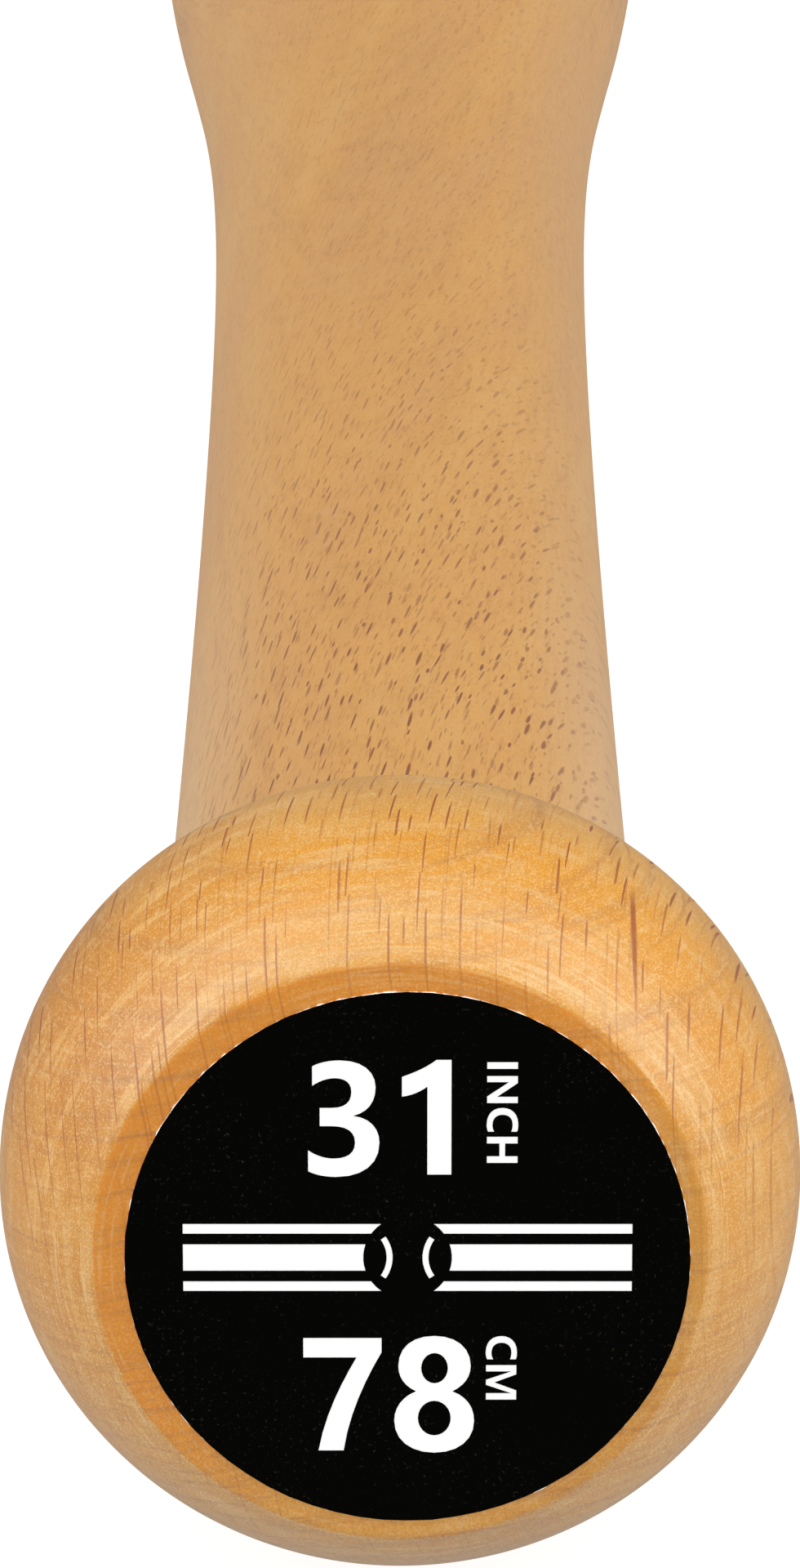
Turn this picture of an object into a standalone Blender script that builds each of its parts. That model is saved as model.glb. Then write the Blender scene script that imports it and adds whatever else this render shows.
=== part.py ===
"""A turned beech baseball bat, 31 inches long, with the round size label on its knob.

The bat lies along +Y: the knob's end faces -Y, the barrel points to +Y and +Z is up.
The origin is on the bat's axis, in the label's outer face. All sizes are in metres.
"""

import math

import bmesh
import bpy
from mathutils import Matrix, Vector

# Overall sizes
BAT_LENGTH = 0.7874          # 31 inches, from the label's face to the barrel's end
BARREL_RADIUS = 0.0285
KNOB_RADIUS = 0.022

# Knob: a flat end, a rounded front up to the widest ring, and a back that sweeps into the handle
KNOB_FLAT_RADIUS = 0.01635
KNOB_FRONT_LENGTH = 0.0129
KNOB_FRONT_POWER = 2.27      # how full the rounded front is
KNOB_BACK_LENGTH = 0.0152
KNOB_BACK_POWER = 1.36       # moves the back's steepest place away from the widest ring

# Handle and taper
HANDLE_RADIUS = 0.01417
HANDLE_FLARE = 0.0014        # what the handle's radius gains over the flare's length
HANDLE_FLARE_LENGTH = 0.200
HANDLE_FLARE_POWER = 1.82
TAPER_MIDDLE = 0.356         # from the knob's end to the middle of the taper
TAPER_HALF_LENGTH = 0.0753

# Barrel end: a flat middle inside a rounded shoulder
END_FLAT_RADIUS = 0.0115
END_ROUND_LENGTH = 0.0185

# Label: white stock with a black print that leaves the marks white
LABEL_MARGIN = 0.00131       # wood left showing between the label and the edge of the knob's flat
LABEL_OFFSET_X = 0.0004      # the label is stuck on a little right of the axis
LABEL_OFFSET_Z = -0.0002     # and a little low
STOCK_THICKNESS = 0.0002
PRINT_THICKNESS = 0.0001
LAYER_GAP = 0.0003

# Label artwork, in millimetres on a label of 30 mm, measured from the label's centre
ART_LABEL_RADIUS = 15.0
NUMERAL_ROWS = (             # numerals, left end, foot, space between the two
    ("31", -5.25, 4.80, 1.18),
    ("78", -5.55, -10.93, 0.67),
)
UNIT_GAP = 0.62              # from the longer row of numerals to the units
UNIT_TOPS = {"INCH": 11.10, "CM": -4.35}
BAND_HALF_LENGTH = 11.9
BAND_MIDDLE = 0.12
STRIPES = ((-1.90, -1.35), (-0.75, 0.75), (1.35, 1.90))
BALL_RADIUS = 2.35           # the stripes' inner ends follow this circle
SEAM_END_GAP = 0.65          # from the ends of the ball's seams to that circle
SEAM_RADIUS = 1.95
SEAM_INSET = 0.95            # from the ball's middle to each seam
SEAM_WIDTH = 0.32

# Mesh detail
BODY_SEGMENTS = 32
KNOB_RINGS = 9
KNOB_RING_CROWDING = 1.3     # above 1, the rings lie closer together near the knob's end
HANDLE_RINGS = 26
END_RINGS = 8
SHARP_ANGLE = math.radians(35)
RIM_POINTS = 72
CURVE_POINTS = 6             # points along each curved stretch of a numeral or a letter
SEAM_POINTS = 12             # points along each side of a seam
COUNTER_POINTS = 24          # points round each of the 8's counters
SAME_POINT = 1e-6            # an outline that ends this close to its start is already closed

# Where the layers lie along Y
PRINT_FRONT = 0.0
STOCK_FRONT = PRINT_FRONT + PRINT_THICKNESS + LAYER_GAP
STOCK_BACK = STOCK_FRONT + STOCK_THICKNESS
KNOB_FACE = STOCK_BACK + LAYER_GAP

LABEL_RADIUS = KNOB_FLAT_RADIUS - LABEL_MARGIN
ART_SCALE = LABEL_RADIUS / ART_LABEL_RADIUS

# Outlines of the marks, in millimetres from the lower left corner. A pair is a corner reached by a
# straight line; six numbers are a curve's two handles and its end.
NUMERALS = {
    "3": (
        (0.23, 6.07), (0.60, 6.28, 1.10, 6.40, 1.71, 6.40), (2.85, 6.40, 3.57, 5.80, 3.57, 4.90),
        (3.57, 4.05, 3.15, 3.50, 2.40, 3.30), (3.25, 3.20, 3.77, 2.62, 3.77, 1.80),
        (3.77, 0.57, 2.88, -0.13, 1.48, -0.13), (0.90, -0.13, 0.38, -0.02, 0.00, 0.19),
        (0.00, 1.38), (0.40, 1.08, 0.88, 0.91, 1.35, 0.91), (2.08, 0.91, 2.48, 1.22, 2.48, 1.80),
        (2.48, 2.42, 2.05, 2.72, 1.25, 2.72), (0.62, 2.72), (0.62, 3.75), (1.25, 3.75),
        (1.95, 3.75, 2.29, 4.05, 2.29, 4.65), (2.29, 5.13, 1.98, 5.40, 1.43, 5.40),
        (1.02, 5.40, 0.60, 5.24, 0.23, 4.97),
    ),
    "1": (
        (0.00, 5.48), (0.75, 5.75, 1.35, 6.05, 1.82, 6.43), (2.61, 6.43), (2.61, 0.00),
        (1.34, 0.00), (1.34, 4.93), (1.00, 4.66, 0.50, 4.42, 0.00, 4.37),
    ),
    "7": (
        (0.00, 6.47), (4.17, 6.47), (4.17, 5.64), (3.30, 4.10, 2.40, 2.00, 2.14, 0.00),
        (0.79, 0.00), (1.15, 2.10, 2.05, 3.95, 2.83, 5.35), (0.00, 5.35),
    ),
    "8": (
        (2.14, 6.59), (3.30, 6.59, 4.08, 5.93, 4.08, 4.87), (4.08, 4.20, 3.70, 3.72, 3.11, 3.41),
        (3.85, 3.12, 4.27, 2.52, 4.27, 1.71), (4.27, 0.62, 3.45, -0.13, 2.14, -0.13),
        (0.87, -0.13, 0.00, 0.60, 0.00, 1.72), (0.00, 2.50, 0.45, 3.12, 1.16, 3.41),
        (0.55, 3.72, 0.22, 4.20, 0.22, 4.87), (0.22, 5.93, 0.95, 6.59, 2.14, 6.59),
    ),
}
LETTERS = {
    "I": ((0.00, 0.00), (0.00, 1.62), (0.38, 1.62), (0.38, 0.00)),
    "N": (
        (0.00, 0.00), (0.00, 1.62), (0.40, 1.62), (1.16, 0.54), (1.16, 1.62), (1.52, 1.62),
        (1.52, 0.00), (1.14, 0.00), (0.35, 1.14), (0.35, 0.00),
    ),
    "C": (
        (1.34, 1.59), (1.21, 1.64, 1.08, 1.65, 0.93, 1.65), (0.33, 1.65, 0.00, 1.30, 0.00, 0.82),
        (0.00, 0.29, 0.36, -0.02, 0.95, -0.02), (1.10, -0.02, 1.23, 0.01, 1.34, 0.06),
        (1.34, 0.39), (1.22, 0.32, 1.09, 0.29, 0.95, 0.29), (0.60, 0.29, 0.39, 0.50, 0.39, 0.82),
        (0.39, 1.15, 0.59, 1.35, 0.93, 1.35), (1.10, 1.35, 1.24, 1.32, 1.34, 1.27),
    ),
    "H": (
        (0.00, 0.00), (0.00, 1.62), (0.38, 1.62), (0.38, 0.96), (1.09, 0.96), (1.09, 1.62),
        (1.47, 1.62), (1.47, 0.00), (1.09, 0.00), (1.09, 0.66), (0.38, 0.66), (0.38, 0.00),
    ),
    "M": (
        (0.00, 0.00), (0.00, 1.62), (0.54, 1.62), (1.00, 0.46), (1.45, 1.62), (1.99, 1.62),
        (1.99, 0.00), (1.61, 0.00), (1.61, 1.31), (1.14, 0.00), (0.84, 0.00), (0.37, 1.33),
        (0.37, 0.00),
    ),
}
LETTER_STARTS = {"INCH": (0.00, 0.77, 2.55, 4.17), "CM": (0.00, 1.66)}
# The 8's two counters, each a middle and its half sizes
EIGHT_COUNTERS = {"upper": ((2.15, 4.74), (0.71, 0.86)), "lower": ((2.14, 1.87), (0.875, 0.99))}


def material(name, colour, roughness):
    mat = bpy.data.materials.new(name)
    mat.use_nodes = True
    shader = mat.node_tree.nodes["Principled BSDF"]
    shader.inputs["Base Color"].default_value = (*colour, 1.0)
    shader.inputs["Roughness"].default_value = roughness
    shader.inputs["Metallic"].default_value = 0.0
    mat.diffuse_color = (*colour, 1.0)
    return mat


# ---------------------------------------------------------------- the turned body

def knob_front_radius(distance):
    left = 1.0 - distance / KNOB_FRONT_LENGTH
    return KNOB_RADIUS - (KNOB_RADIUS - KNOB_FLAT_RADIUS) * left**KNOB_FRONT_POWER


def shaft_radius(distance):
    """The handle, the taper and the barrel: a slow flare that an S-curve carries to the barrel."""
    past_knob = max(0.0, distance - KNOB_FRONT_LENGTH - KNOB_BACK_LENGTH)
    handle = HANDLE_RADIUS + HANDLE_FLARE * (past_knob / HANDLE_FLARE_LENGTH) ** HANDLE_FLARE_POWER
    share = 0.5 + 0.5 * math.tanh((distance - TAPER_MIDDLE) / TAPER_HALF_LENGTH)
    return handle + (BARREL_RADIUS - handle) * share


def knob_back_radius(distance):
    share = (distance - KNOB_FRONT_LENGTH) / KNOB_BACK_LENGTH
    neck = shaft_radius(KNOB_FRONT_LENGTH + KNOB_BACK_LENGTH)
    return neck + (KNOB_RADIUS - neck) * (0.5 + 0.5 * math.cos(math.pi * share**KNOB_BACK_POWER))


def body_profile():
    """The body's half outline as (distance from the knob's end, radius), knob to barrel."""
    neck = KNOB_FRONT_LENGTH + KNOB_BACK_LENGTH
    wood_length = BAT_LENGTH - KNOB_FACE
    shoulder = wood_length - END_ROUND_LENGTH
    points = []
    for i in range(KNOB_RINGS):
        distance = KNOB_FRONT_LENGTH * (i / KNOB_RINGS) ** KNOB_RING_CROWDING
        points.append((distance, knob_front_radius(distance)))
    for i in range(KNOB_RINGS):
        distance = KNOB_FRONT_LENGTH + KNOB_BACK_LENGTH * i / KNOB_RINGS
        points.append((distance, knob_back_radius(distance)))
    for i in range(HANDLE_RINGS):
        distance = neck + (shoulder - neck) * i / HANDLE_RINGS
        points.append((distance, shaft_radius(distance)))
    barrel = shaft_radius(shoulder)
    for i in range(END_RINGS + 1):
        turn = 0.5 * math.pi * i / END_RINGS
        distance = shoulder + END_ROUND_LENGTH * math.sin(turn)
        points.append((distance, END_FLAT_RADIUS + (barrel - END_FLAT_RADIUS) * math.cos(turn)))
    return points


def turned_body(name, profile, mat):
    """Spins the half outline round the Y axis, starting half a step from straight down, so that
    a flat facet lies lowest, and closes both flat ends."""
    bm = bmesh.new()
    start = math.pi / BODY_SEGMENTS
    ring = [
        bm.verts.new((radius * math.sin(start), KNOB_FACE + distance, -radius * math.cos(start)))
        for distance, radius in profile
    ]
    outline = [bm.edges.new(pair) for pair in zip(ring, ring[1:])]
    bmesh.ops.spin(
        bm, geom=ring + outline, cent=(0, 0, 0), axis=(0, 1, 0), angle=2 * math.pi,
        steps=BODY_SEGMENTS, use_merge=True, use_duplicate=False,
    )
    bmesh.ops.holes_fill(bm, edges=[edge for edge in bm.edges if edge.is_boundary], sides=0)
    bmesh.ops.recalc_face_normals(bm, faces=bm.faces)
    mesh = bpy.data.meshes.new(name)
    bm.to_mesh(mesh)
    bm.free()
    mesh.materials.append(mat)
    mesh.shade_smooth()
    mesh.set_sharp_from_angle(angle=SHARP_ANGLE)
    body = bpy.data.objects.new(name, mesh)
    bpy.context.scene.collection.objects.link(body)
    return body


# ---------------------------------------------------------------- the label's artwork

def traced(moves):
    """The points of an outline made of corners and curves."""
    points = [Vector(moves[0])]
    for move in moves[1:]:
        end = Vector(move[-2:])
        if len(move) == 6:
            start, first, second = points[-1], Vector(move[0:2]), Vector(move[2:4])
            for i in range(1, CURVE_POINTS):
                t = i / CURVE_POINTS
                u = 1.0 - t
                points.append(
                    u**3 * start + 3 * u * u * t * first + 3 * u * t * t * second + t**3 * end
                )
        points.append(end)
    if (points[0] - points[-1]).length < SAME_POINT:
        points.pop()
    return points


def arc(middle, radius, start, end, count):
    """Points along a circle's arc, from one angle to another, in radians."""
    turns = [start + (end - start) * i / (count - 1) for i in range(count)]
    return [Vector(middle) + radius * Vector((math.cos(a), math.sin(a))) for a in turns]


def ellipse(middle, half_sizes, count):
    half_width, half_height = half_sizes
    points = []
    for i in range(count):
        turn = 2 * math.pi * i / count
        offset = Vector((half_width * math.cos(turn), half_height * math.sin(turn)))
        points.append(Vector(middle) + offset)
    return points


def moved(points, offset):
    return [point + Vector(offset) for point in points]


def width(points):
    return max(point.x for point in points) - min(point.x for point in points)


def numeral_places():
    """Each numeral's lower left corner."""
    places = {}
    for row, left, foot, gap in NUMERAL_ROWS:
        for numeral in row:
            places[numeral] = (left, foot)
            left += width(traced(NUMERALS[numeral])) + gap
    return places


def numeral_outlines():
    places = numeral_places()
    return [moved(traced(outline), places[numeral]) for numeral, outline in NUMERALS.items()]


def unit_outlines():
    """The unit names read downwards: a letter's own right is down, and its own up is right."""
    left = UNIT_GAP + max(point.x for outline in numeral_outlines() for point in outline)
    outlines = []
    for word, top in UNIT_TOPS.items():
        for letter, start in zip(word, LETTER_STARTS[word]):
            points = traced(LETTERS[letter])
            outlines.append([Vector((left + p.y, top - start - p.x)) for p in points])
    return outlines


def stripe_outline(low, high, side):
    """One stripe beside the ball, its inner end hollowed to follow the ball."""
    from_angle = math.asin(high / BALL_RADIUS)
    to_angle = math.asin(low / BALL_RADIUS)
    inner = arc((0, 0), BALL_RADIUS, from_angle, to_angle, CURVE_POINTS)
    points = inner + [Vector((BAND_HALF_LENGTH, low)), Vector((BAND_HALF_LENGTH, high))]
    return [Vector((side * p.x, p.y + BAND_MIDDLE)) for p in points]


def seam_outline(side):
    """One of the ball's two seams: a band along an arc that bends away from the ball's middle."""
    middle = SEAM_RADIUS + SEAM_INSET
    end_radius = BALL_RADIUS - SEAM_END_GAP
    reach = math.acos((middle**2 + SEAM_RADIUS**2 - end_radius**2) / (2 * middle * SEAM_RADIUS))
    near, far = SEAM_RADIUS + SEAM_WIDTH / 2, SEAM_RADIUS - SEAM_WIDTH / 2
    inner = arc((middle, 0), near, math.pi - reach, math.pi + reach, SEAM_POINTS)
    outer = arc((middle, 0), far, math.pi + reach, math.pi - reach, SEAM_POINTS)
    return [Vector((side * p.x, p.y + BAND_MIDDLE)) for p in inner + outer]


def mark_outlines():
    outlines = numeral_outlines() + unit_outlines()
    for side in (-1, 1):
        outlines += [stripe_outline(low, high, side) for low, high in STRIPES]
        outlines.append(seam_outline(side))
    return outlines


def label_layer(name, outlines, front, thickness, mat):
    """A flat layer of the label: filled outlines, where an outline inside another is a hole."""
    curve = bpy.data.curves.new(name, "CURVE")
    curve.dimensions = "2D"
    curve.fill_mode = "BOTH"
    curve.extrude = thickness / 2
    for outline in outlines:
        spline = curve.splines.new("POLY")
        spline.points.add(len(outline) - 1)
        for point, place in zip(spline.points, outline):
            point.co = (place.x * ART_SCALE, place.y * ART_SCALE, 0.0, 1.0)
        spline.use_cyclic_u = True
    curve.materials.append(mat)
    layer = bpy.data.objects.new(name, curve)
    layer.matrix_world = Matrix.Translation(
        (LABEL_OFFSET_X, front + thickness / 2, LABEL_OFFSET_Z)
    ) @ Matrix.Rotation(math.radians(90), 4, "X")
    bpy.context.scene.collection.objects.link(layer)
    return layer


def main():
    for obj in list(bpy.data.objects):
        bpy.data.objects.remove(obj)
    beech = material("beech", (0.58, 0.35, 0.14), 0.35)
    stock_white = material("stock_white", (0.9, 0.9, 0.88), 0.5)
    print_black = material("print_black", (0.012, 0.011, 0.010), 0.45)

    turned_body("bat_body", body_profile(), beech)

    rim = arc((0, 0), ART_LABEL_RADIUS, 0.0, 2 * math.pi * (1 - 1 / RIM_POINTS), RIM_POINTS)
    label_layer("label_stock", [rim], STOCK_FRONT, STOCK_THICKNESS, stock_white)
    label_layer("label_print", [rim] + mark_outlines(), PRINT_FRONT, PRINT_THICKNESS, print_black)
    for part, (middle, half_sizes) in EIGHT_COUNTERS.items():
        counter = moved(ellipse(middle, half_sizes, COUNTER_POINTS), numeral_places()["8"])
        label_layer(
            f"label_print_eight_{part}", [counter], PRINT_FRONT, PRINT_THICKNESS, print_black
        )


main()
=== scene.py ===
"""The looks of the turned beech bat: its lacquered wood, the label on its knob, and the studio."""

import math
from types import SimpleNamespace

import bpy
import numpy as np
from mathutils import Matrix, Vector, noise


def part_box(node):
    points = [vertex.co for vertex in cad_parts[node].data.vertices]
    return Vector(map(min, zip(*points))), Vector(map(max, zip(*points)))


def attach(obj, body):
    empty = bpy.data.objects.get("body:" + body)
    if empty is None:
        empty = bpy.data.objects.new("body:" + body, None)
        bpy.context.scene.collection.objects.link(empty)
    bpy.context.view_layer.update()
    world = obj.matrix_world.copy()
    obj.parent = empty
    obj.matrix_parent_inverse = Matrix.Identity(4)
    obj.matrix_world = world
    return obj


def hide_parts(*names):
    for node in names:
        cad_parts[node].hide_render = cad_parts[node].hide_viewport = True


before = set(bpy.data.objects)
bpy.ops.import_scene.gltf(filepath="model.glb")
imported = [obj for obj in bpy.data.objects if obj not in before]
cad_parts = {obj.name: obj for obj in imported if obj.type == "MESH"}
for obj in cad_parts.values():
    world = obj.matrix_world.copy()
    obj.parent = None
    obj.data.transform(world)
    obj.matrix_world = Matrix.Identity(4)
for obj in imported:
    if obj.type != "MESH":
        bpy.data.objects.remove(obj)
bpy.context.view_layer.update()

MM = 0.001
MM_PER_METRE = 1000.0
KNOB_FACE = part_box("bat_body")[0].y

# ---------------------------------------------------------------- sizes

# The body's mesh
SEGMENTS = 256
SAME_RING_DECIMALS = 6           # packed points that agree to a micrometre are on one ring
OUTLINE_STEP = 0.1 * MM
STEEPEST_SLOPE = 3.0             # times the flatter neighbouring chord, so it can't overshoot a ring
EDGE_SOFTNESS = 0.35 * MM        # how far the knob's turned edge is sanded over
# Stretches of the outline from the knob's middle, each as (end in mm, ring spacing in mm)
RING_SPACING = ((15.2, 1.4), (17.8, 0.16), (52.0, 0.42), (130.0, 2.0), (math.inf, 5.0))
BARREL_END_STRETCH = 26.0 * MM   # the outline's last stretch, round the shoulder
BARREL_END_SPACING = 1.0
# The same outline on the bake map, each as (end in mm, end on the map)
MAP_STOPS = ((0.0, 0.0), (52.0, 0.40), (130.0, 0.68))

# The label
STOCK_THICKNESS = 0.14 * MM
PRINT_THICKNESS = 0.02 * MM
STOCK_FRONT = KNOB_FACE - STOCK_THICKNESS
PRINT_FRONT = STOCK_FRONT - PRINT_THICKNESS
STOCK_RIM_POINTS = 720
STOCK_INNER_ROWS = (0.5, 0.97)   # rings of points on the stock's front, as shares of its radius
EDGE_INSET = 0.03 * MM           # the bevel that the cutter leaves
STOCK_SHRINK = 0.018 * MM        # how far inside the print's edge the stock's lies, on average
STOCK_WANDER = 0.07 * MM         # how far each edge wanders off its circle
PRINT_WANDER = 0.03 * MM
STOCK_WANDER_SEED, PRINT_WANDER_SEED = 1.7, 5.1
PRINT_RIM = 0.05 * MM            # points this close to the label's radius are on its edge
COARSE_WAVES, FINE_WAVES = 3.0, 38.0

# Wood, in mm: the tree's pith beside the bat, the run of the grain and the growth rings
PITH_X, PITH_Z = 24.0, -180.0
GRAIN_SLOPE = math.tan(math.radians(7.5))
RING_WIDTH = 2.8
SPECKLES_PER_MM = 8.5
WOOD_RELIEF = 0.035 * MM
LABEL_RELIEF = 0.004 * MM

# Regions of the bat, in mm, each as (where it begins to count, where it counts in full)
KNOB_Y = (30.0, 22.0)
BARREL_Y = (280.0, 400.0)
LOWER_KNOB_Z = (4.0, -8.0)
UNDERSIDE_Z = (-8.0, -20.0)
FEWER_RAYS_Z = (9.0, -4.0)
CLEAR_FLECKS_Y = (190.0, 45.0)
# the painted sheen on the handle's sides is strongest near the knob
SIDE_SHEEN_Y = (140.0, 60.0)

# One long fleck, high on the knob's right, in mm
LONG_FLECK_X, LONG_FLECK_Z = 12.5, 15.0
LONG_FLECK_LEAN = 0.012
LONG_FLECK_BOTTOM, LONG_FLECK_TOP = (11.0, 15.0), (17.8, 17.0)
LONG_FLECK_SWELLS = (13.0, 16.0)
LONG_FLECK_Y = (12.0, 9.0)

# The studio
STUDIO_HALF_WIDTH = 25.0         # leaves room for a camera that backs off to see the whole bat
FLOOR_GAP = 0.02 * MM            # between the floor and what rests on it
KNOB_IS_BEFORE, BARREL_IS_PAST = 0.03, 0.3
FLOOR_REFLECTED, FLOOR_EMITTED = 0.22, 0.9
BACKDROP_REFLECTED, BACKDROP_EMITTED = 0.0, 1.02
PANEL_X, PANEL_Y, PANEL_Z = 1.0, 0.35, 0.12
PANEL_TARGET, PANEL_SIZE = (0.0, 0.2, 0.0), (0.9, 0.7)
PANELS = (("left_panel", -1, 4.5), ("right_panel", 1, 5.2))
FILL_PLACE, FILL_TARGET = (0.0, -1.1, 0.5), (0.0, 0.0, 0.0)
FILL_SIZE, FILL_POWER = (1.0, 0.7), 6.0
SURROUND, DIMMER_BEHIND, BRIGHTER_BELOW, ARCH = 0.42, 0.20, 0.14, 2.3
ARCH_FORWARD = 0.12              # how far the arch leans towards the knob's end

CAMERA_DISTANCE = 0.345          # from the middle of the knob's end
CAMERA_RAISED = math.radians(21.36)
CAMERA_DOWN = math.radians(17.2)
CAMERA_LENS, SENSOR_HEIGHT = 148.7, 36.0
CLIP_START = 0.01


# ---------------------------------------------------------------- material graphs

class Value:
    """A number that varies over a surface. Arithmetic on it adds Math nodes to its material."""

    def __init__(self, tree, socket):
        self.tree = tree
        self.socket = socket

    def __add__(self, other):
        return maths(self.tree, "ADD", self, other)

    def __sub__(self, other):
        return maths(self.tree, "SUBTRACT", self, other)

    def __rsub__(self, other):
        return maths(self.tree, "SUBTRACT", other, self)

    def __mul__(self, other):
        return maths(self.tree, "MULTIPLY", self, other)

    def __truediv__(self, other):
        return maths(self.tree, "DIVIDE", self, other)

    __radd__ = __add__
    __rmul__ = __mul__


def put(tree, socket, value):
    if isinstance(value, Value):
        tree.links.new(value.socket, socket)
    elif isinstance(value, bpy.types.NodeSocket):
        tree.links.new(value, socket)
    elif isinstance(value, tuple) and len(value) == 3 and socket.type == "RGBA":
        socket.default_value = (*value, 1.0)
    else:
        socket.default_value = value


def maths(tree, operation, *values):
    node = tree.nodes.new("ShaderNodeMath")
    node.operation = operation
    for socket, value in zip(node.inputs, values):
        put(tree, socket, value)
    return Value(tree, node.outputs[0])


def ramp(value, start, end):
    """0 at start and 1 at end, smoothly, and held outside."""
    node = value.tree.nodes.new("ShaderNodeMapRange")
    node.interpolation_type = "SMOOTHSTEP"
    if start < end:
        limits = (start, end, 0.0, 1.0)
    else:
        limits = (end, start, 1.0, 0.0)
    put(value.tree, node.inputs["Value"], value)
    for name, limit in zip(("From Min", "From Max", "To Min", "To Max"), limits):
        node.inputs[name].default_value = limit
    return Value(value.tree, node.outputs["Result"])


def vector(tree, x, y, z):
    node = tree.nodes.new("ShaderNodeCombineXYZ")
    for socket, value in zip(node.inputs, (x, y, z)):
        put(tree, socket, value)
    return node.outputs[0]


def cloud(tree, x, y, z, detail=2.0, rough=0.5, distortion=0.0):
    """Smooth noise of about one feature per unit, between 0 and 1."""
    node = tree.nodes.new("ShaderNodeTexNoise")
    tree.links.new(vector(tree, x, y, z), node.inputs["Vector"])
    node.inputs["Scale"].default_value = 1.0
    node.inputs["Detail"].default_value = detail
    node.inputs["Roughness"].default_value = rough
    node.inputs["Distortion"].default_value = distortion
    return Value(tree, node.outputs[0])


def blend(tree, amount, first, second):
    """The first colour where the amount is 0 and the second where it is 1."""
    node = tree.nodes.new("ShaderNodeMix")
    node.data_type = "RGBA"
    node.clamp_factor = True
    sockets = {socket.identifier: socket for socket in node.inputs}
    put(tree, sockets["Factor_Float"], amount)
    put(tree, sockets["A_Color"], first)
    put(tree, sockets["B_Color"], second)
    return next(socket for socket in node.outputs if socket.identifier == "Result_Color")


def srgb(red, green, blue):
    """A colour given in 0-255 display values, as the linear numbers that a shader takes."""
    def linear(level):
        level /= 255.0
        return level / 12.92 if level <= 0.04045 else ((level + 0.055) / 1.055) ** 2.4
    return (linear(red), linear(green), linear(blue))


def new_material(name):
    mat = bpy.data.materials.new(name)
    mat.use_nodes = True
    return mat, mat.node_tree, mat.node_tree.nodes["Principled BSDF"]


def place_in_mm(tree):
    coordinates = tree.nodes.new("ShaderNodeTexCoord")
    split = tree.nodes.new("ShaderNodeSeparateXYZ")
    tree.links.new(coordinates.outputs["Object"], split.inputs[0])
    return [Value(tree, split.outputs[i]) * MM_PER_METRE for i in range(3)]


def bumped(tree, shader, height, distance):
    node = tree.nodes.new("ShaderNodeBump")
    node.inputs["Strength"].default_value = 1.0
    node.inputs["Distance"].default_value = distance
    put(tree, node.inputs["Height"], height)
    tree.links.new(node.outputs["Normal"], shader.inputs["Normal"])


def flecks(tree, across, along, cell_width, cell_length, width, length, seed):
    """Scattered slim spots, one to a cell: how dark each place is, from 0 to 1."""
    cells = tree.nodes.new("ShaderNodeTexVoronoi")
    cells.voronoi_dimensions = "2D"
    cells.feature = "F1"
    cells.inputs["Scale"].default_value = 1.0
    u, v = across / cell_width + seed, along / cell_length + seed
    tree.links.new(vector(tree, u, v, 0.0), cells.inputs["Vector"])
    middle = tree.nodes.new("ShaderNodeSeparateXYZ")
    tree.links.new(cells.outputs["Position"], middle.inputs[0])
    chance = tree.nodes.new("ShaderNodeSeparateColor")
    tree.links.new(cells.outputs["Color"], chance.inputs[0])
    one, two, three = [Value(tree, chance.outputs[i]) for i in range(3)]
    off_across = (u - Value(tree, middle.outputs[0])) * cell_width
    off_along = (v - Value(tree, middle.outputs[1])) * cell_length
    # each spot leans and swells a little in its own way
    off_across = off_across + off_along * (one - 0.5) * 0.05
    reach_across = off_across / (one * 0.6 + 0.7) / width
    reach_along = off_along / (two * 1.1 + 0.35) / length
    far = maths(tree, "SQRT", reach_across * reach_across + reach_along * reach_along)
    return ramp(far, 1.15, 0.60) * ramp(three, -0.2, 0.8)


GOLDEN = srgb(226, 163, 74)
PINKISH = srgb(221, 160, 84)
PALE = srgb(228, 184, 120)
# the pale of the painted sheen on the handle's sides
SIDE_SHEEN_PALE = srgb(240, 204, 158)
# the pale of the painted highlights on the turning ridges and of the painted glints among the specks
GLINT_PALE = srgb(238, 200, 138)
KNOB_GOLD = srgb(216, 158, 68)
ORANGE = srgb(220, 147, 16)
DEEP_GOLD = srgb(214, 142, 34)
# the russet of the painted shade on the knob's flanks
SHADE_RUSSET = srgb(192, 122, 22)
END_BROWN = srgb(226, 136, 6)
MAUVE = srgb(172, 104, 66)
RING_BROWN = srgb(160, 98, 46)
FLECK_BROWN = srgb(138, 68, 26)
KNOB_FLECK_BROWN = srgb(152, 72, 20)


def wood_places(tree):
    """Each place on the bat, and where it lay in the tree: out from its pith, round it and up it."""
    x, y, z = place_in_mm(tree)
    drift = cloud(tree, x / 26.0, y / 80.0, z / 26.0, detail=1.0) - 0.5
    sway = cloud(tree, x / 9.0, y / 30.0 + 7.0, z / 9.0, detail=2.0) - 0.5
    out_x = x - y * GRAIN_SLOPE - PITH_X + drift * 3.0
    out_z = z - PITH_Z
    pith_distance = maths(tree, "SQRT", out_x * out_x + out_z * out_z)
    round_tree = maths(tree, "ARCTAN2", out_x, out_z) * -PITH_Z + sway * 0.35
    return SimpleNamespace(
        x=x, y=y, z=z, drift=drift, sway=sway, out_x=out_x, out_z=out_z,
        pith_distance=pith_distance, round_tree=round_tree, along_grain=y + x * GRAIN_SLOPE,
        turned_way=y + maths(tree, "SQRT", x * x + z * z),
    )


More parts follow.
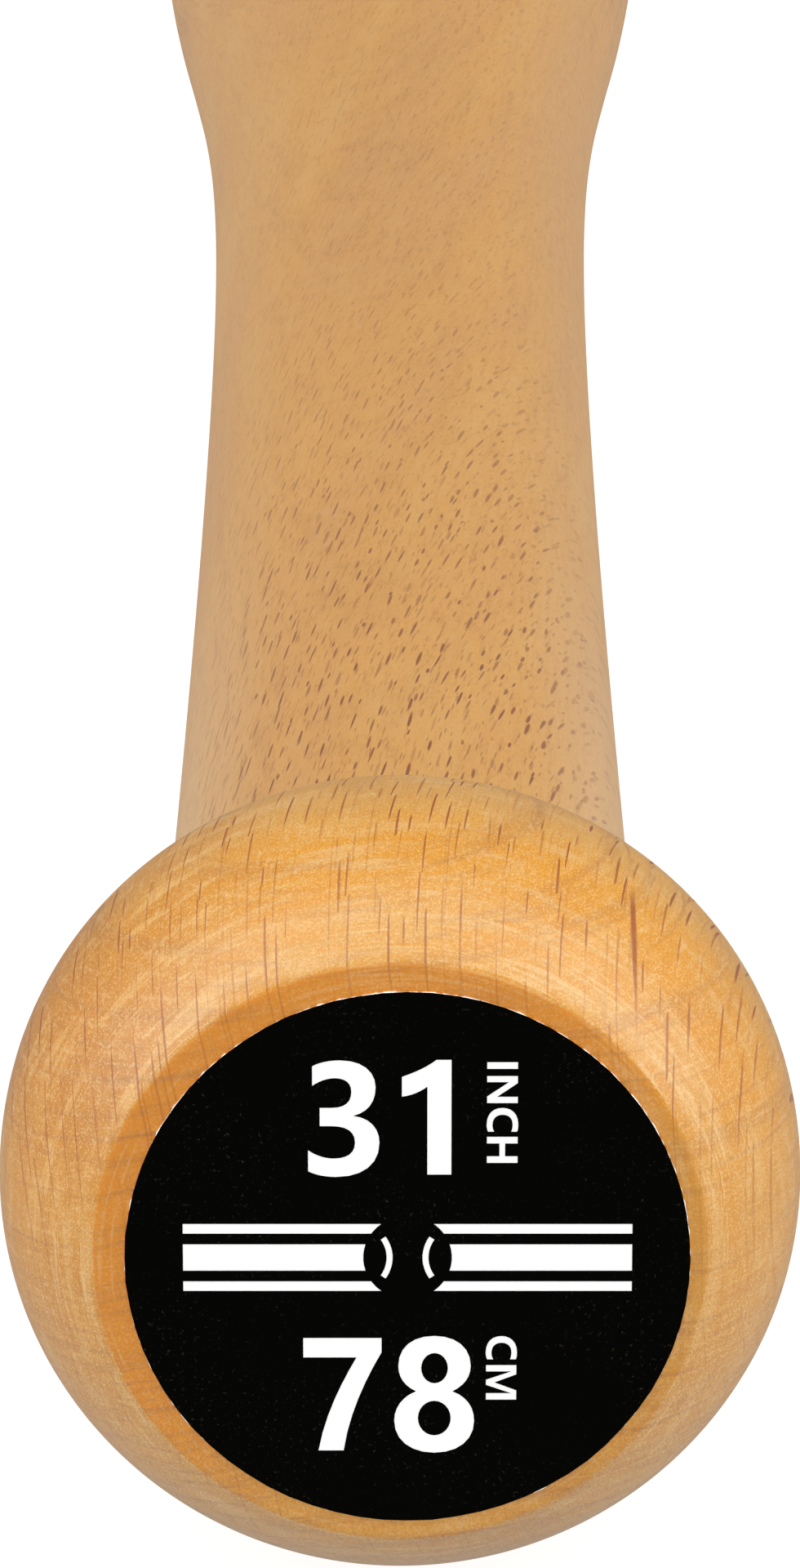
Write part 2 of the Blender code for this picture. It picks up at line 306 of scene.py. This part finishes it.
def wood_regions(tree, at):
    """How far each place belongs to a region of the bat, from 0 to 1."""
    geometry = tree.nodes.new("ShaderNodeNewGeometry")
    normal = tree.nodes.new("ShaderNodeSeparateXYZ")
    tree.links.new(geometry.outputs["Normal"], normal.inputs[0])
    beside = ramp(maths(tree, "ABSOLUTE", Value(tree, normal.outputs[0])), 0.50, 0.92)
    # 0 where the surface runs along the fibres, as on the handle, and 1 on the knob's end
    end_grain = maths(tree, "ABSOLUTE", Value(tree, normal.outputs[1]))
    on_knob = ramp(at.y, *KNOB_Y)
    return SimpleNamespace(
        beside=beside * (1.0 - on_knob), cut_across=ramp(end_grain, 0.05, 0.6),
        on_face=ramp(end_grain, 0.80, 0.99), on_knob=on_knob, on_barrel=ramp(at.y, *BARREL_Y),
        lower=ramp(at.z, *LOWER_KNOB_Z) * on_knob, few_rays=on_knob * ramp(at.z, *FEWER_RAYS_Z),
    )


def wood_rings(tree, at):
    """Growth rings: a pale start, a slow turn to orange, and a thin brown line."""
    turn = at.pith_distance / RING_WIDTH + at.drift * 1.1 + at.sway * 0.5
    share = maths(tree, "FRACT", turn)
    number = maths(tree, "FLOOR", turn)
    chance = cloud(tree, number * 3.7, at.y / 12.0, at.x / 7.0, detail=2.0)
    return SimpleNamespace(
        line=ramp(share, 0.86, 0.94) * ramp(share, 1.0, 0.95) * ramp(chance, 0.36, 0.62),
        late=ramp(share, 0.10, 0.85) * ramp(share, 1.0, 0.93) * ramp(chance, 0.3, 0.7),
    )


def wood_rays(tree, at, region):
    """Rays: spots where the surface follows the rings, lines where it cuts them."""
    depth = cloud(tree, at.pith_distance / 5.0, at.y / 9.0, at.round_tree / 3.0, detail=1.0)
    width = 0.085 - region.on_knob * 0.03
    length = region.on_knob * 0.7 + 1.5
    spots = flecks(tree, at.round_tree, at.along_grain, 0.85, 3.4, width, length, 11.3)
    return SimpleNamespace(
        spots=spots * ramp(depth - region.on_knob * 0.14, 0.14, 0.32),
        small=flecks(tree, at.round_tree, at.along_grain, 0.62, 2.3, 0.05, 0.9, 47.9),
        long=flecks(tree, at.round_tree, at.along_grain, 1.9, 11.0, 0.035, 4.5, 83.1),
    )


def wood_texture(tree, at):
    """Fibres, speckle, layers of the tree's growth, the marks of turning and painted highlights on the
    turning ridges.
    """
    x, y, z = at.x, at.y, at.z
    out_x, out_z, up = at.out_x, at.out_z, at.along_grain
    way = at.turned_way
    fine = SPECKLES_PER_MM
    groove = cloud(tree, x / 30.0, way * 1.5, z / 30.0, detail=1.0)
    broken = cloud(tree, x / 3.5 + 5.0, way, z / 3.5, detail=2.0)
    return SimpleNamespace(
        web=cloud(tree, at.round_tree * 6.0, up * 1.3, at.pith_distance * 0.5, 2.0, 0.6),
        fibre=cloud(tree, out_x * 2.6, up / 7.0, out_z * 2.6, 3.0, 0.6),
        hair=cloud(tree, out_x * 6.5, up / 1.6, out_z * 6.5, 2.0, 0.6),
        speckle=cloud(tree, x * fine, y * fine, z * fine, 1.0, 0.6),
        layers=cloud(tree, at.pith_distance * 1.1, at.round_tree / 14.0, up / 26.0, 3.0, 0.7),
        thin_layers=cloud(tree, at.pith_distance * 3.2, at.round_tree / 4.0, up / 5.0, 2.0, 0.6),
        broad=cloud(tree, out_x / 8.0, up / 90.0, out_z / 8.0, 2.0, 0.5),
        turning=cloud(tree, x / 9.0, way * 2.2, z / 9.0, 3.0, 0.65),
        patches=cloud(tree, x / 6.5, way / 1.4, z / 6.5, 4.0, 0.60, 0.3),
        ridge_glints=ramp(maths(tree, "ABSOLUTE", groove - 0.5), 0.05, 0.01) * ramp(broken, 0.46, 0.60),
    )


def wood_tones_and_shade(tree, at, region, rings, texture):
    """The wood's broad colours, from the palest stretches to the orange ones, with painted russet
    shade on the knob's flanks and painted shade on its flat end.
    """
    x, y, z = at.x, at.y, at.z
    patches = texture.patches
    tint = blend(tree, ramp(texture.broad, 0.35, 0.68), GOLDEN, PINKISH)
    tint = blend(tree, ramp(texture.broad, 0.52, 0.30) * 0.25, tint, PALE)
    tint = blend(tree, region.on_knob * 0.8, tint, KNOB_GOLD)
    glow = ramp(patches, 0.46, 0.57) * 0.8 + rings.late * 0.4
    glow = glow * (ramp(z, -4.0, 12.0) * 0.65 + 0.35)
    glow = glow + ramp(z, 2.0, 13.0) * ramp(y, 1.5, 6.0) * 0.5
    tint = blend(tree, glow * ramp(y, 12.0, 7.0) * 0.85, tint, ORANGE)
    tint = blend(tree, ramp(patches, 0.46, 0.37) * region.on_knob * 0.45, tint, PALE)

    # painted shade: the knob's flanks are darker, more so on the left, mottled by the wood's patches
    outward = ramp(maths(tree, "ABSOLUTE", x + 1.5), 8.0, 17.0)
    flank_shade = outward * ramp(z, -18.0, -8.0) * ramp(z, 19.0, 12.0)
    flank_shade = flank_shade * (1.3 - ramp(x, -5.0, 5.0) * 0.8) * (ramp(patches, 0.40, 0.58) * 0.3 + 0.2)
    upper_left_shade = ramp(x, -5.0, -13.0) * ramp(z, 2.0, 9.0)
    flank_shade = flank_shade + upper_left_shade * ramp(patches, 0.32, 0.46) * 0.55
    tint = blend(tree, flank_shade * region.on_knob, tint, SHADE_RUSSET)

    # the flat end grain is a little darker brown, and painted shade darkens it most high on the left
    end_grain_and_shade = ramp(z * 0.8 - x * 0.7, -9.0, 4.0) * 0.90 + 0.10
    end_grain_and_shade = end_grain_and_shade * (ramp(texture.speckle, 0.65, 0.35) * 0.3 + 0.7)
    return blend(tree, region.on_face * end_grain_and_shade, tint, END_BROWN)


def wood_grain(tree, tint, at, region, rings, texture):
    """The colours with growth layers, fibres, turning marks and speckle drawn over them, with a
    painted sheen on the handle's sides and painted highlights on the turning ridges.
    """
    on_knob, on_face, on_barrel, lower = (
        region.on_knob, region.on_face, region.on_barrel, region.lower
    )
    fibre, hair, web = texture.fibre - 0.5, texture.hair - 0.5, texture.web - 0.5
    thin_layers, speckle = texture.thin_layers - 0.5, texture.speckle
    layered = ramp(texture.layers, 0.50, 0.66) * (on_knob * 0.20 + on_barrel * 0.25 + 0.10)
    tint = blend(tree, layered, tint, RING_BROWN)
    tint = blend(tree, rings.line * (on_knob * 0.30 + on_barrel * 0.40 + 0.08), tint, RING_BROWN)

    streak = fibre * 1.6 + hair * 1.6 + web * (2.6 - on_knob * 1.6) + thin_layers * 1.8
    shade = blend(tree, on_knob, RING_BROWN, DEEP_GOLD)
    darker = ramp(streak, 0.05, 0.8) * (on_knob * 0.20 + 0.25) * (1.0 - on_face * 0.6)
    paler = ramp(streak, 0.0, -0.7) * (on_knob * 0.25 + 0.25) * (1.0 - on_face * 0.7)
    tint = blend(tree, paler, blend(tree, darker, tint, shade), PALE)

    dashes = ramp(thin_layers * 1.4 + hair * 1.2 + (speckle - 0.5) * 0.5, 0.0, 0.35)
    underside = ramp(at.z, *UNDERSIDE_Z) * on_knob
    tint = blend(tree, dashes * lower * 0.5 + underside * 0.06, tint, MAUVE)
    # painted sheen: the handle's sides are paler, most near the knob
    side = region.beside * (ramp(at.y, *SIDE_SHEEN_Y) * 0.28 + 0.08)
    tint = blend(tree, side, tint, SIDE_SHEEN_PALE)
    # painted highlights: thin pale arcs on the turning ridges, near the knob's end
    ridge_glints = texture.ridge_glints * ramp(at.y, 7.0, 3.0) * (0.45 - on_face * 0.25)
    tint = blend(tree, ridge_glints, tint, GLINT_PALE)

    # pale specks of the grain, strongest on the knob, where they also stand in for painted glints of
    # the lacquer
    bright = ramp(speckle, 0.50, 0.66) * (1.0 - on_face * 0.6)
    tint = blend(tree, bright * (on_knob * 0.36 + lower * 0.14 + 0.06), tint, GLINT_PALE)
    dark = ramp(speckle, 0.48, 0.34) * (on_knob * 0.44 + lower * 0.20 + 0.08)
    return blend(tree, dark, tint, shade)


def long_fleck(tree, at):
    swell = ramp(at.z, *LONG_FLECK_SWELLS) * 0.12 + 0.08
    lean = (at.z - LONG_FLECK_Z) * LONG_FLECK_LEAN + at.sway * 0.5
    across = ramp(maths(tree, "ABSOLUTE", (at.x - LONG_FLECK_X + lean) / swell), 1.1, 0.3)
    upright = ramp(at.z, *LONG_FLECK_BOTTOM) * ramp(at.z, *LONG_FLECK_TOP)
    return across * upright * ramp(at.y, *LONG_FLECK_Y)


def wood_flecks(tree, tint, at, region, rays):
    """The colours with the rays' brown flecks drawn over them, fading along the handle."""
    fade = ramp(at.y, *CLEAR_FLECKS_Y) * 0.75 + 0.25 + region.on_barrel * 0.5
    kept = (1.0 - region.on_face * 0.55) * (1.0 - region.few_rays * 0.85)
    kept = kept * (1.0 - region.beside * 0.75) * (0.95 - region.cut_across * 0.25)
    brown = blend(tree, region.on_knob, FLECK_BROWN, KNOB_FLECK_BROWN)
    tint = blend(tree, rays.spots * fade * kept, tint, brown)
    tint = blend(tree, long_fleck(tree, at) * 0.85, tint, brown)
    tint = blend(tree, rays.small * fade * (0.45 - region.on_knob * 0.33), tint, brown)
    return blend(tree, rays.long * region.on_knob * (1.0 - region.few_rays) * 0.35, tint, brown)


def beech_material():
    mat, tree, shader = new_material("lacquered_beech")
    at = wood_places(tree)
    region = wood_regions(tree, at)
    rings = wood_rings(tree, at)
    rays = wood_rays(tree, at, region)
    texture = wood_texture(tree, at)
    tint = wood_tones_and_shade(tree, at, region, rings, texture)
    tint = wood_grain(tree, tint, at, region, rings, texture)
    put(tree, shader.inputs["Base Color"], wood_flecks(tree, tint, at, region, rays))

    fibre, hair, speckle = texture.fibre - 0.5, texture.hair - 0.5, texture.speckle - 0.5
    gloss = 0.36 + speckle * 0.30 + fibre * 0.16 + region.on_face * 0.10
    put(tree, shader.inputs["Roughness"], gloss)
    shader.inputs["Specular IOR Level"].default_value = 0.6
    shader.inputs["Coat Weight"].default_value = 0.45
    shader.inputs["Coat Roughness"].default_value = 0.22
    height = fibre * 0.4 + speckle * 0.7 + (texture.web - 0.5) * 0.8 + hair * 0.3
    height = height + (texture.turning - 0.5) * region.on_knob * 0.7
    height = height - rays.spots * 0.4 - rays.small * 0.2
    bumped(tree, shader, height, WOOD_RELIEF)
    return mat


PRINT_BLACK = srgb(1, 1, 0)
DUST = srgb(56, 48, 38)
STOCK_WHITE = (0.93, 0.93, 0.92)
PULP_WHITE = (1.0, 1.0, 1.0)
SOAKED_BROWN = srgb(196, 146, 88)
STOCK_EMITTED = 0.17             # the little glow that keeps the stock as white as its surround


def print_material():
    mat, tree, shader = new_material("label_black_print")
    x, y, z = place_in_mm(tree)
    grain = cloud(tree, x * 4.0, y * 4.0, z * 4.0, detail=2.0, rough=0.7)
    smear = cloud(tree, x / 5.0, y, z / 5.0, detail=3.0)
    speck = ramp(grain, 0.60, 0.74) * ramp(smear, 0.35, 0.65)
    tint = blend(tree, speck * 0.8, PRINT_BLACK, DUST)
    put(tree, shader.inputs["Base Color"], tint)
    put(tree, shader.inputs["Roughness"], 0.42 + (grain - 0.5) * 0.25)
    shader.inputs["Specular IOR Level"].default_value = 0.04
    bumped(tree, shader, grain, LABEL_RELIEF)
    return mat


def stock_material():
    mat, tree, shader = new_material("label_white_stock")
    x, y, z = place_in_mm(tree)
    pulp = cloud(tree, x * 2.2, y * 2.2, z * 2.2, detail=3.0, rough=0.6)
    # lacquer has soaked into the cut edge here and there
    edge_starts = (STOCK_FRONT + EDGE_INSET * 0.3) / MM
    cut_edge = ramp(y, edge_starts, (STOCK_FRONT + EDGE_INSET) / MM)
    soaked = cut_edge * ramp(cloud(tree, x * 1.6, 0.0, z * 1.6, detail=2.0), 0.44, 0.56)
    white = blend(tree, pulp, STOCK_WHITE, PULP_WHITE)
    put(tree, shader.inputs["Base Color"], blend(tree, soaked * 0.9, white, SOAKED_BROWN))
    put(tree, shader.inputs["Roughness"], 0.55 + (pulp - 0.5) * 0.2)
    shader.inputs["Emission Color"].default_value = (1.0, 1.0, 1.0, 1.0)
    put(tree, shader.inputs["Emission Strength"], STOCK_EMITTED - soaked * STOCK_EMITTED)
    shader.inputs["Specular IOR Level"].default_value = 0.3
    bumped(tree, shader, pulp, LABEL_RELIEF)
    return mat


def studio_material(name, reflected, emitted):
    mat, _, shader = new_material(name)
    shader.inputs["Base Color"].default_value = (reflected, reflected, reflected, 1.0)
    shader.inputs["Roughness"].default_value = 0.9
    shader.inputs["Specular IOR Level"].default_value = 0.0
    shader.inputs["Emission Color"].default_value = (1.0, 1.0, 1.0, 1.0)
    shader.inputs["Emission Strength"].default_value = emitted
    return mat


# ---------------------------------------------------------------- the wooden body

def cad_outline():
    """The body's half outline as (distance along the bat, radius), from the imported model's rings."""
    places = np.array([v.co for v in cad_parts["bat_body"].data.vertices], float)
    along = np.round(places[:, 1], SAME_RING_DECIMALS)
    radius = np.hypot(places[:, 0], places[:, 2])
    return np.array([(y, radius[along == y].max()) for y in sorted(set(along))])


def smooth_through(points, step):
    """A smooth curve through the points, as closely spaced points."""
    reach = np.concatenate([[0.0], np.cumsum(np.hypot(*np.diff(points, axis=0).T))])
    slopes = np.gradient(points, reach, axis=0, edge_order=2)
    chords = np.diff(points, axis=0) / np.diff(reach)[:, None]
    flatter = np.minimum(abs(chords[:-1]), abs(chords[1:])) * (chords[:-1] * chords[1:] > 0)
    limit = STEEPEST_SLOPE * flatter
    slopes[1:-1] = np.clip(slopes[1:-1], -limit, limit)
    at = np.linspace(0.0, reach[-1], int(reach[-1] / step) + 1)
    i = np.clip(np.searchsorted(reach, at, side="right") - 1, 0, len(reach) - 2)
    span = (reach[i + 1] - reach[i])[:, None]
    t = (at - reach[i])[:, None] / span
    return (
        (2 * t**3 - 3 * t**2 + 1) * points[i] + (t**3 - 2 * t**2 + t) * span * slopes[i]
        + (3 * t**2 - 2 * t**3) * points[i + 1] + (t**3 - t**2) * span * slopes[i + 1]
    )


def body_outline():
    """The whole half outline, from the knob's middle to the middle of the barrel's end."""
    side = smooth_through(cad_outline(), OUTLINE_STEP)
    outward = np.arange(0.0, side[0, 1] - OUTLINE_STEP / 2, OUTLINE_STEP)
    inward = np.arange(side[-1, 1] - OUTLINE_STEP, 0.0, -OUTLINE_STEP)
    front = [(side[0, 0], r) for r in outward]
    back = [(side[-1, 0], r) for r in inward]
    line = np.concatenate([front, side, back, [(side[-1, 0], 0.0)]])
    reach = int(EDGE_SOFTNESS / OUTLINE_STEP)
    kernel = np.convolve(np.ones(reach + 1), np.ones(reach + 1))
    kernel /= kernel.sum()
    soft = line.copy()
    for column in (0, 1):
        soft[reach:-reach, column] = np.convolve(line[:, column], kernel, mode="valid")
    return soft


def picked_rings(line):
    """The outline's points that become rings, how far along it each one lies, and its length."""
    reach = np.concatenate([[0.0], np.cumsum(np.hypot(*np.diff(line, axis=0).T))])
    at = [0.0]
    last = reach[-1] - BARREL_END_STRETCH
    while at[-1] < reach[-1] - OUTLINE_STEP:
        here = at[-1] / MM
        spacing = next(gap for end, gap in RING_SPACING if here < end)
        if at[-1] > last:
            spacing = BARREL_END_SPACING
        at.append(min(at[-1] + spacing * MM, reach[-1]))
    at = np.array(at[1:-1])
    rings = np.stack([np.interp(at, reach, line[:, 0]), np.interp(at, reach, line[:, 1])], 1)
    return rings, at, reach[-1]


def body_mesh():
    line = body_outline()
    rings, at, total = picked_rings(line)
    turns = 2 * math.pi * np.arange(SEGMENTS) / SEGMENTS
    verts = [(0.0, line[0, 0], 0.0)]
    for along, radius in rings:
        verts += [(radius * math.sin(a), along, -radius * math.cos(a)) for a in turns]
    verts.append((0.0, line[-1, 0], 0.0))
    end = len(verts) - 1

    stops = [(reach * MM, place) for reach, place in MAP_STOPS] + [(total, 1.0)]
    place_on_map = np.interp(at, *zip(*stops))
    faces, maps = [], []
    for j in range(SEGMENTS):
        k = (j + 1) % SEGMENTS
        left, right = j / SEGMENTS, (j + 1) / SEGMENTS
        faces.append((0, 1 + j, 1 + k))
        maps += [((left + right) / 2, 0.0), (left, place_on_map[0]), (right, place_on_map[0])]
        for i in range(len(rings) - 1):
            low, high = 1 + i * SEGMENTS, 1 + (i + 1) * SEGMENTS
            faces.append((low + j, high + j, high + k, low + k))
            v, w = place_on_map[i], place_on_map[i + 1]
            maps += [(left, v), (left, w), (right, w), (right, v)]
        low = 1 + (len(rings) - 1) * SEGMENTS
        faces.append((low + j, end, low + k))
        maps += [(left, place_on_map[-1]), ((left + right) / 2, 1.0), (right, place_on_map[-1])]

    mesh = bpy.data.meshes.new("turned_beech_body")
    mesh.from_pydata(verts, [], faces)
    layer = mesh.uv_layers.new(name="OFBake")
    layer.data.foreach_set("uv", np.array(maps, float).ravel())
    mesh.shade_smooth()
    mesh.update()
    return mesh


def add_piece(name, mesh, mat, slot, *nodes):
    mesh.materials.clear()
    mesh.materials.append(mat)
    piece = bpy.data.objects.new(name, mesh)
    bpy.context.scene.collection.objects.link(piece)
    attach(piece, "root")
    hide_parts(*nodes)
    return piece


# ---------------------------------------------------------------- the label

def label_middle():
    low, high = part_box("label_stock")
    return (low + high) / 2, (high.x - low.x) / 2


def ragged(angle, seed, amount):
    """A small change of radius round a cut edge."""
    place = Vector((math.cos(angle), math.sin(angle), seed))
    coarse = noise.noise(place * COARSE_WAVES)
    fine = noise.noise(place * FINE_WAVES)
    return amount * (0.5 * coarse + fine)


def stock_mesh():
    """The label's white stock: a thin disc with a cut edge that isn't quite even."""
    middle, radius = label_middle()
    # rows of points from the middle outwards, each as (share of the radius, inset, place along Y)
    rows = [(share, 0.0, STOCK_FRONT) for share in STOCK_INNER_ROWS]
    rows += [(1.0, EDGE_INSET, STOCK_FRONT), (1.0, 0.0, STOCK_FRONT + EDGE_INSET)]
    rows += [(1.0, 0.0, KNOB_FACE)]
    turns = [2 * math.pi * i / STOCK_RIM_POINTS for i in range(STOCK_RIM_POINTS)]
    verts = [(middle.x, STOCK_FRONT, middle.z)]
    for share, inset, y in rows:
        for a in turns:
            rim = radius - STOCK_SHRINK + ragged(a, STOCK_WANDER_SEED, STOCK_WANDER)
            rim = rim * share - inset
            verts.append((middle.x + rim * math.cos(a), y, middle.z + rim * math.sin(a)))
    verts.append((middle.x, KNOB_FACE, middle.z))
    count, end = STOCK_RIM_POINTS, len(verts) - 1
    faces = []
    for j in range(count):
        k = (j + 1) % count
        faces.append((0, 1 + j, 1 + k))
        for i in range(len(rows) - 1):
            low, high = 1 + i * count, 1 + (i + 1) * count
            faces.append((low + j, high + j, high + k, low + k))
        low = 1 + (len(rows) - 1) * count
        faces.append((low + j, end, low + k))
    mesh = bpy.data.meshes.new("label_paper")
    mesh.from_pydata(verts, [], faces)
    mesh.update()
    return mesh


def print_mesh(node):
    """The print as a film on the stock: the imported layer's outline, thinned and moved onto it."""
    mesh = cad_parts[node].data.copy()
    low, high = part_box(node)
    middle, radius = label_middle()
    for vert in mesh.vertices:
        share = (vert.co.y - low.y) / (high.y - low.y)
        vert.co.y = PRINT_FRONT + share * PRINT_THICKNESS
        x, z = vert.co.x - middle.x, vert.co.z - middle.z
        if math.hypot(x, z) > radius - PRINT_RIM:
            angle = math.atan2(z, x)
            scale = 1.0 + ragged(angle, PRINT_WANDER_SEED, PRINT_WANDER) / radius
            vert.co.x, vert.co.z = middle.x + x * scale, middle.z + z * scale
    mesh.update()
    return mesh


# ---------------------------------------------------------------- the studio

def floor_height_and_slope():
    """The plane that the knob and the barrel both rest on."""
    outline = cad_outline()
    widest = outline[outline[:, 0] < KNOB_IS_BEFORE][:, 1].argmax()
    knob_y, knob_r = outline[widest]
    far = outline[outline[:, 0] > BARREL_IS_PAST]
    slope = ((far[:, 1] - knob_r) / (far[:, 0] - knob_y)).max()
    return -knob_r + slope * knob_y, -slope


def add_studio():
    height, slope = floor_height_and_slope()
    low, high = -STUDIO_HALF_WIDTH, STUDIO_HALF_WIDTH
    corners = ((low, low), (high, low), (high, high), (low, high))
    verts = [(x, y, height + slope * y - FLOOR_GAP) for x, y in corners]
    floor = studio_material("studio_floor", FLOOR_REFLECTED, FLOOR_EMITTED)
    add_stage("studio_floor", verts, [(0, 1, 2, 3)], floor)
    verts = [(x, y, z) for x in (low, high) for y in (low, high) for z in (low, high)]
    walls = [(0, 1, 3, 2), (4, 6, 7, 5), (0, 4, 5, 1), (2, 3, 7, 6), (1, 5, 7, 3)]
    backdrop = studio_material("studio_backdrop", BACKDROP_REFLECTED, BACKDROP_EMITTED)
    add_stage("studio_backdrop", verts, walls, backdrop)


def add_stage(name, verts, faces, mat):
    """A surface of the studio that the camera sees, while the lights alone light the bat."""
    mesh = bpy.data.meshes.new(name)
    mesh.from_pydata(verts, [], faces)
    mesh.materials.append(mat)
    surface = bpy.data.objects.new(name, mesh)
    bpy.context.scene.collection.objects.link(surface)
    surface.visible_diffuse = False
    surface.visible_glossy = False
    surface.visible_shadow = False


def add_softbox(name, place, target, size, power):
    light = bpy.data.lights.new(name, "AREA")
    light.shape = "RECTANGLE"
    light.size, light.size_y = size
    light.energy = power
    lamp = bpy.data.objects.new(name, light)
    lamp.location = place
    lamp.rotation_euler = (Vector(target) - Vector(place)).to_track_quat("-Z", "Y").to_euler()
    lamp.visible_camera = False
    lamp.visible_glossy = False
    bpy.context.scene.collection.objects.link(lamp)


def add_world():
    """A white surround with a soft bright arch from side to side over the knob, and dimmer low
    down behind the bat, where the handle mirrors it at a low angle."""
    world = bpy.data.worlds.new("studio_white")
    world.use_nodes = True
    tree = world.node_tree
    direction = tree.nodes.new("ShaderNodeTexCoord").outputs["Generated"]
    split = tree.nodes.new("ShaderNodeSeparateXYZ")
    tree.links.new(direction, split.inputs[0])
    aside, along, up = [Value(tree, split.outputs[i]) for i in range(3)]
    behind = ramp(along, 0.35, 0.90)
    below = ramp(up, 0.05, -0.6)
    from_arch = maths(tree, "ABSOLUTE", along + ARCH_FORWARD)
    arch = ramp(from_arch, 0.34, 0.08) * ramp(up, 0.02, 0.35)
    arch = arch * (ramp(maths(tree, "ABSOLUTE", aside), 0.15, 0.6) * 0.35 + 0.65)
    strength = SURROUND - behind * DIMMER_BEHIND + below * BRIGHTER_BELOW + arch * ARCH
    background = tree.nodes["Background"]
    background.inputs["Color"].default_value = (1.0, 1.0, 1.0, 1.0)
    put(tree, background.inputs["Strength"], strength)
    bpy.context.scene.world = world


def add_camera():
    """Close in front of the knob, a little above it, looking down along the bat."""
    data = bpy.data.cameras.new("camera")
    data.sensor_fit = "VERTICAL"
    data.sensor_height = SENSOR_HEIGHT
    data.lens = CAMERA_LENS
    data.clip_start = CLIP_START
    camera = bpy.data.objects.new("camera", data)
    ahead = CAMERA_DISTANCE * math.cos(CAMERA_RAISED)
    camera.location = (0.0, KNOB_FACE - ahead, CAMERA_DISTANCE * math.sin(CAMERA_RAISED))
    camera.rotation_euler = (math.radians(90) - CAMERA_DOWN, 0.0, 0.0)
    bpy.context.scene.collection.objects.link(camera)
    bpy.context.scene.camera = camera


def build():
    bpy.context.scene.view_settings.view_transform = "Standard"
    add_camera()
    add_world()
    add_studio()
    for name, side, power in PANELS:
        place = (side * PANEL_X, PANEL_Y, PANEL_Z)
        add_softbox(name, place, PANEL_TARGET, PANEL_SIZE, power)
    add_softbox("front_fill", FILL_PLACE, FILL_TARGET, FILL_SIZE, FILL_POWER)

    add_piece("turned_beech_body", body_mesh(), beech_material(), "beech", "bat_body")
    add_piece("label_paper", stock_mesh(), stock_material(), "label_white", "label_stock")
    ink = print_material()
    for node in ("label_print", "label_print_eight_upper", "label_print_eight_lower"):
        name = node.replace("label_print", "label_ink")
        add_piece(name, print_mesh(node), ink, "label_black", node)


build()
